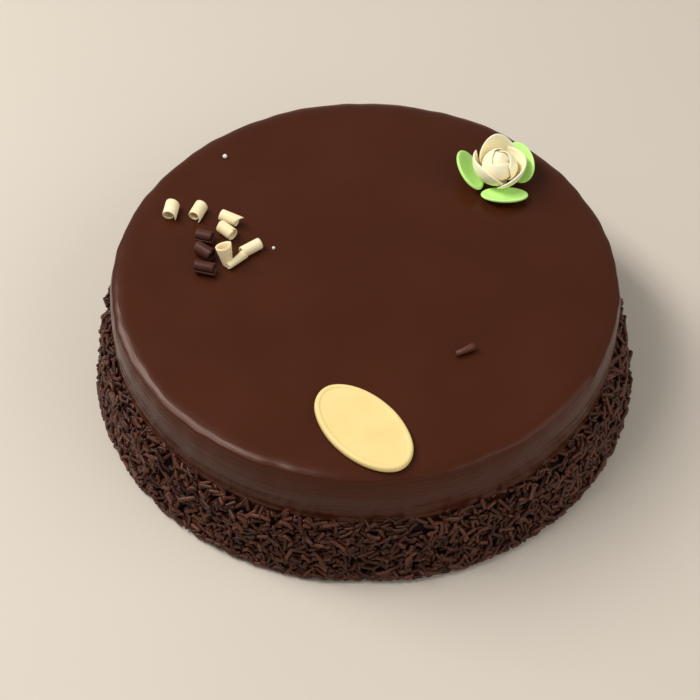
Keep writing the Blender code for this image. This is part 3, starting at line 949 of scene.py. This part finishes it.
def bud_radius(height):
    # radius of the closed bud, widest at its middle
    if height < BUD_MIDDLE:
        tucked = 1.0 - BUD_TUCK * (1.0 - height / BUD_MIDDLE) ** 2
        return max(BUD_RADIUS * tucked, BUD_FOOT_RADIUS)
    share = (height - BUD_MIDDLE) / (ROSE_HEIGHT - BUD_MIDDLE)
    return BUD_RADIUS * (1.0 - BUD_CLOSING * share ** 2)


def rose_spot(radius, angle, height):
    return (
        ROSE_CENTRE[0] + radius * math.cos(angle),
        ROSE_CENTRE[1] + radius * math.sin(angle),
        REST + ROSE_LIFT + height,
    )


def petal_thickness(full, from_edge, rise):
    # round at every edge and a little thinner toward the rim
    close = min(from_edge, 0.5 * full)
    rounding = math.sqrt(max(0.0, 1.0 - (1.0 - 2.0 * close / full) ** 2))
    edge = PETAL_EDGE + (1.0 - PETAL_EDGE) * rounding
    return full * edge * (1.0 - PETAL_THINNING * rise ** 3)


def petal_grids(petal, closed):
    # a closed petal lies round the bud, an open one in the outer cup
    start, end, low_start, high, low_end, arch, closing = petal
    lift = BUD_LIFT if closed else 0.0
    thickness = INNER_THICKNESS if closed else PETAL_THICKNESS
    fall = INNER_FALL if closed else PETAL_FALL
    outer = []
    inner = []
    for row in range(PETAL_ROWS + 1):
        t = 1.0 - (1.0 - row / PETAL_ROWS) ** 1.5
        outer_row = []
        inner_row = []
        for step in range(PETAL_STEPS + 1):
            s = step / PETAL_STEPS
            angle = math.radians(start + (end - start) * s)
            edge = low_start + (low_end - low_start) * s
            rim = edge + (high - edge) * math.sin(math.pi * s) ** arch
            height = lift + t * (rim - lift)
            if closed:
                out = bud_radius(height)
            else:
                out = cup_radius(height, closing * math.sin(math.pi * s))
            out += fall * (0.5 - s)
            from_rim = (1.0 - t) * (rim - lift)
            from_side = min(s, 1.0 - s) * math.radians(end - start) * out
            thin = petal_thickness(thickness, min(from_rim, from_side), t)
            shift = 0.5 * (thickness - thin)
            outer_row.append(rose_spot(out - shift, angle, height))
            inner_row.append(rose_spot(out - shift - thin, angle, height))
        outer.append(outer_row)
        inner.append(inner_row)
    return outer, inner


def build_petals(petals, closed, name, node, surface):
    for index, petal in enumerate(petals):
        points, faces = sheet(*petal_grids(petal, closed))
        piece = add_piece("%s_%d" % (name, index + 1), points, faces, surface)
        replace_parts(face_outward(piece), "%s_%d" % (node, index + 1))


def heart_radius(height, angle):
    # the heart fills the room inside the innermost petal on each side and closes at its top
    if height < BUD_LIFT:
        return HEART_FOOT_RADIUS + HEART_FOOT_SPREAD * max(height, 0.0) / BUD_LIFT
    spare = []
    for petal in INNER_PETALS:
        start, end = petal[:2]
        share = ((math.degrees(angle) - start) % 360.0) / (end - start)
        if share < PETAL_END_SHARE:
            spare.append(INNER_FALL * (1.0 - min(share, 1.0)))
    full = bud_radius(height) - 0.5 * INNER_FALL - INNER_THICKNESS - HEART_CLEARANCE
    filled = full + min(spare) * (1.0 - (height / HEART_TOP) ** 6)
    return max(filled, HEART_TOP_RADIUS)


def build_heart(surface):
    rings = []
    for level in range(HEART_LEVELS):
        share = level / (HEART_LEVELS - 1)
        height = (HEART_TOP + ROSE_LIFT - HEART_TOP_GAP) * share - ROSE_LIFT
        ring = []
        for i in range(HEART_SIDES):
            angle = TAU * i / HEART_SIDES
            fold = 0.5 + 0.5 * math.cos(2.0 * angle + 0.9 * height)
            radius = heart_radius(height, angle) * (1.0 - HEART_FOLD * fold ** 6)
            ring.append(rose_spot(radius, angle, height))
        rings.append(ring)
    bottom = rose_spot(0.0, 0.0, -ROSE_LIFT)
    points, faces = lathe(rings, bottom, rose_spot(0.0, 0.0, HEART_TOP))
    piece = add_piece("rose_bud", points, faces, surface)
    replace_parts(piece, "rose_heart")


def build_rose(surface):
    build_petals(OUTER_PETALS, False, "petal_outer", "rose_petal", surface)
    build_petals(INNER_PETALS, True, "petal_inner", "rose_inner_petal", surface)
    build_heart(surface)


# Leaves

def leaf_spot(leaf, u, v, w):
    # u across the leaf, v along it, w through it, cupped upward toward the edge
    x, y, azimuth, tilt, half_length, half_width = leaf
    lean = math.radians(tilt)
    cup = LEAF_CUP * ((u / half_width) ** 2 + (v / half_length) ** 2)
    w = w + cup - LEAF_CUP_DROP * LEAF_CUP
    out = u * math.cos(lean) - w * math.sin(lean)
    up = u * math.sin(lean) + w * math.cos(lean)
    centre = (ROSE_CENTRE[0] + x, ROSE_CENTRE[1] + y)
    return (*turned(centre, math.radians(azimuth), out, v), up)


def leaf_ring(leaf, share, depth):
    half_length, half_width = leaf[4:]
    ring = []
    for i in range(LEAF_SIDES):
        angle = TAU * i / LEAF_SIDES
        u = share * half_width * math.cos(angle)
        v = share * half_length * math.sin(angle)
        ring.append(leaf_spot(leaf, u, v, depth * LEAF_THICKNESS))
    return ring


def build_leaves(surface):
    for index, leaf in enumerate(LEAVES):
        rings = [leaf_ring(leaf, share, depth) for share, depth in LEAF_ROWS]
        bottom = leaf_spot(leaf, 0.0, 0.0, -0.5 * LEAF_THICKNESS)
        top = leaf_spot(leaf, 0.0, 0.0, LEAF_MIDDLE * LEAF_THICKNESS)
        points, faces = lathe(rings, bottom, top)
        name = "leaf_%d" % (index + 1)
        piece = add_piece(name, rested(points), faces, surface)
        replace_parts(piece, "rose_leaf_%d" % (index + 1))


# Curls

def curl_axes(azimuth, tilt):
    # the axis of a curl and two directions across it
    heading = math.radians(azimuth)
    lean = math.radians(tilt)
    axis = Vector((
        math.cos(heading) * math.cos(lean),
        math.sin(heading) * math.cos(lean),
        math.sin(lean),
    ))
    side = Vector((math.sin(heading), -math.cos(heading), 0.0))
    return axis, side, side.cross(axis)


def curl_points(curl):
    # one sheet rolled round its axis
    x, y, azimuth, tilt, length, r_in, r_out, start, sweep, skew, corner, taper = curl
    axis, side, top = curl_axes(azimuth, tilt)
    outer = []
    inner = []
    for step in range(CURL_STEPS + 1):
        s = step / CURL_STEPS
        turn = math.radians(start + sweep * s)
        radius = r_in + (r_out - r_in) * s
        from_end = min(s, 1.0 - s) * math.radians(sweep) * radius
        close = min(from_end / CURL_THICKNESS, 1.0)
        radial = side * math.cos(turn) + top * math.sin(turn)
        drawn_out = max(0.0, (s - CURL_CORNER) / (1.0 - CURL_CORNER))
        outer_row = []
        inner_row = []
        for k in range(CURL_ACROSS + 1):
            end = k / CURL_ACROSS - 0.5
            along = length * end + skew * (s - 0.5)
            along += corner * drawn_out * max(0.0, 2.0 * end)
            thin = CURL_THICKNESS * (CURL_END + (1.0 - CURL_END) * math.sqrt(close))
            if k in (0, CURL_ACROSS):
                thin *= CURL_SIDE
            point = axis * along
            shift = 0.5 * (CURL_THICKNESS - thin)
            wide = radius + taper * end - shift
            outer_row.append(point + radial * wide)
            inner_row.append(point + radial * (wide - thin))
        outer.append(outer_row)
        inner.append(inner_row)
    points, faces = sheet(outer, inner)
    return rested([(p.x + x, p.y + y, p.z) for p in points]), faces


def build_curls(prefix, node, curls, surface):
    for index, curl in enumerate(curls):
        points, faces = curl_points(curl)
        piece = add_piece("%s_%d" % (prefix, index + 1), points, faces, surface)
        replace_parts(face_outward(piece), "%s_%d" % (node, index + 1))


def build_folded_curl(surface):
    # raised loop, lying roll and the strap between them
    for index, part in enumerate(FOLDED_PARTS):
        points, faces = curl_points(part)
        piece = add_piece("ivory_fold_%d" % (index + 1), points, faces, surface)
        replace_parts(face_outward(piece), "white_curl_5")


# Dark roll

def roll_profile(length):
    # place along the roll and radius, out round both ends and back through the bore
    return (
        (0.0, ROLL_BORE), (0.0, 0.9), (0.12, 1.15), (0.4, ROLL_RADIUS),
        (0.5 * length, ROLL_RADIUS), (length - 0.4, ROLL_RADIUS), (length - 0.1, 1.15),
        (length, 0.9), (length, ROLL_BORE), (0.5 * length, ROLL_BORE),
    )


def build_roll(surface):
    start = Vector((*ROLL_START, 0.0))
    end = Vector((*ROLL_END, 0.0))
    up = Vector((0.0, 0.0, 1.0))
    length = (end - start).length
    axis = (end - start).normalized()
    side = Vector((axis.y, -axis.x, 0.0))
    points = []
    for x, radius in roll_profile(length):
        widening = ROLL_TAPER * (2.0 * x / length - 1.0)
        wide = radius + widening * radius / ROLL_RADIUS
        for i in range(ROLL_SIDES):
            turn = TAU * i / ROLL_SIDES
            spot = start + axis * x + (side * math.cos(turn) + up * math.sin(turn)) * wide
            points.append((spot.x, spot.y, spot.z + REST + ROLL_RADIUS + widening))
    stations = len(points) // ROLL_SIDES
    faces = []
    for level in range(stations):
        upper = (level + 1) % stations
        faces.extend(ring_faces(level * ROLL_SIDES, upper * ROLL_SIDES, ROLL_SIDES))
    piece = add_piece("pencil_roll", points, faces, surface)
    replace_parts(face_outward(piece), "dark_roll")


# Stage

def build_floor():
    made, tree, shader = new_material("floor", 0.6, 0.5)
    cloud = noise(tree, object_coordinates(tree), 3.0, 2.0)
    colour = ramp(tree, cloud, tuple(zip((0.2, 0.8), FLOOR_TONES)))
    tree.links.new(colour, shader.inputs["Base Color"])
    signs = ((-1.0, -1.0), (1.0, -1.0), (1.0, 1.0), (-1.0, 1.0))
    mesh = bpy.data.meshes.new("floor")
    mesh.from_pydata([(x * FLOOR_REACH, y * FLOOR_REACH, 0.0) for x, y in signs], [], [(0, 1, 2, 3)])
    mesh.materials.append(made)
    floor = bpy.data.objects.new("floor", mesh)
    floor.location.z = -FLOOR_DROP
    bpy.context.scene.collection.objects.link(floor)


def add_light(name, place, size, roll, power, colour):
    lamp = bpy.data.lights.new(name, "AREA")
    lamp.shape = "RECTANGLE"
    lamp.size = size[0]
    lamp.size_y = size[1]
    lamp.energy = power
    lamp.color = colour
    item = bpy.data.objects.new(name, lamp)
    item.location = place
    facing = (Vector(LIGHT_AIM) - Vector(place)).to_track_quat("-Z", "Y")
    facing = facing @ Quaternion((0.0, 0.0, 1.0), math.radians(roll))
    item.rotation_euler = facing.to_euler()
    bpy.context.scene.collection.objects.link(item)


def build_lights():
    world = bpy.data.worlds.new("studio")
    world.use_nodes = True
    background = world.node_tree.nodes["Background"]
    background.inputs["Color"].default_value = ROOM_COLOUR
    background.inputs["Strength"].default_value = ROOM_STRENGTH
    bpy.context.scene.world = world
    for light in LIGHTS:
        add_light(*light)


def set_colour_view():
    view = bpy.context.scene.view_settings
    view.view_transform = "Standard"
    view.look = "None"


def build_camera():
    lens = bpy.data.cameras.new("camera")
    lens.sensor_width = CAMERA_SENSOR
    lens.lens = CAMERA_LENS
    lens.clip_start = CAMERA_NEAR
    lens.clip_end = CAMERA_FAR
    item = bpy.data.objects.new("camera", lens)
    high = math.radians(CAMERA_ELEVATION)
    item.location = (0.0, -CAMERA_DISTANCE * math.cos(high), CAMERA_DISTANCE * math.sin(high))
    pitch = math.radians(CAMERA_PITCH)
    yaw = math.radians(CAMERA_YAW)
    forward = Vector((0.0, math.cos(pitch), -math.sin(pitch))) * math.cos(yaw)
    forward += Vector((1.0, 0.0, 0.0)) * math.sin(yaw)
    item.rotation_euler = forward.to_track_quat("-Z", "Y").to_euler()
    bpy.context.scene.collection.objects.link(item)
    bpy.context.scene.camera = item


def main():
    build_glaze(glaze_material())
    build_bed(painted_shade_bed_material())
    build_strands(strand_materials())
    build_pearls(pearl_material())
    build_plaque(plaque_material())
    build_rose(rose_material())
    build_leaves(leaf_material())
    ivory = white_chocolate()
    build_curls("ivory_curl", "white_curl", WHITE_CURLS, ivory)
    build_folded_curl(ivory)
    build_curls("cocoa_curl", "dark_curl", DARK_CURLS, dark_chocolate())
    build_roll(roll_chocolate())
    build_floor()
    build_lights()
    set_colour_view()
    build_camera()


main()

bpy.context.view_layer.update()
